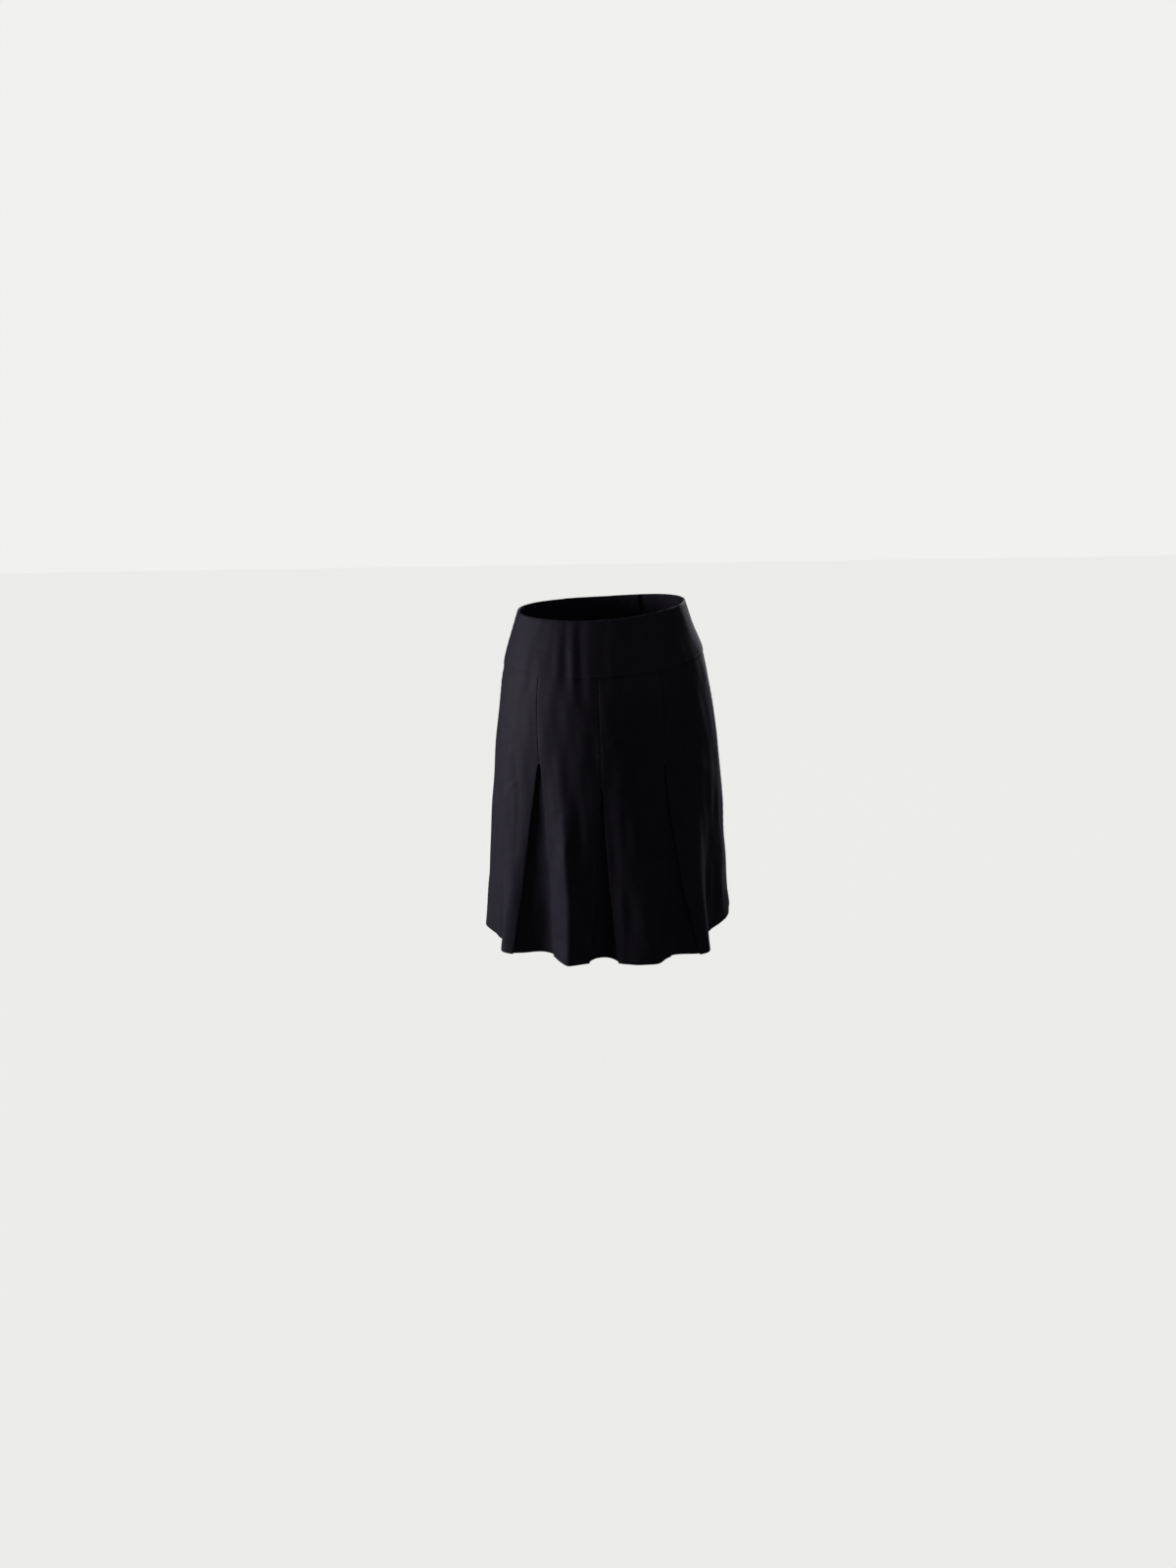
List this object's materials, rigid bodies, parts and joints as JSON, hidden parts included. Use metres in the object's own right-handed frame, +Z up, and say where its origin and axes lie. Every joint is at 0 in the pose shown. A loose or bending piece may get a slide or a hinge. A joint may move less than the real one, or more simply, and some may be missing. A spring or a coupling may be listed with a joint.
{
  "type": "pleated wrap skirt",
  "caption": "Knee-length wrap skirt in dark wool suiting, hollow as worn, with a shaped hip yoke, inverted pleats stitched down at the back and an overlapping buttoned front.",
  "frame": {"origin": "middle of the waist, 10 mm below the top edge at centre back, where the wearer's waist holds the skirt", "axes": "+Z up, +X towards the wearer's left, -Y towards the wearer's front"},
  "size_m": [0.4091, 0.3362, 0.5385],
  "materials": {
    "wool_suiting": "fine dark navy wool twill, matte with a faint sheen",
    "button": "dark polyester button, polished"
  },
  "bodies": {
    "root": {"back_yoke": "wool_suiting", "front_yoke_outer": "wool_suiting", "front_yoke_inner": "wool_suiting", "front_apron_outer": "wool_suiting", "front_apron_inner": "wool_suiting", "back_panel_side_right": "wool_suiting", "back_panel_centre_right": "wool_suiting", "back_panel_centre_left": "wool_suiting", "back_panel_side_left": "wool_suiting", "pleat_underlay_left": "wool_suiting", "pleat_underlay_centre": "wool_suiting", "pleat_underlay_right": "wool_suiting", "button_upper": "button", "button_lower": "button"}
  },
  "joints": []
}
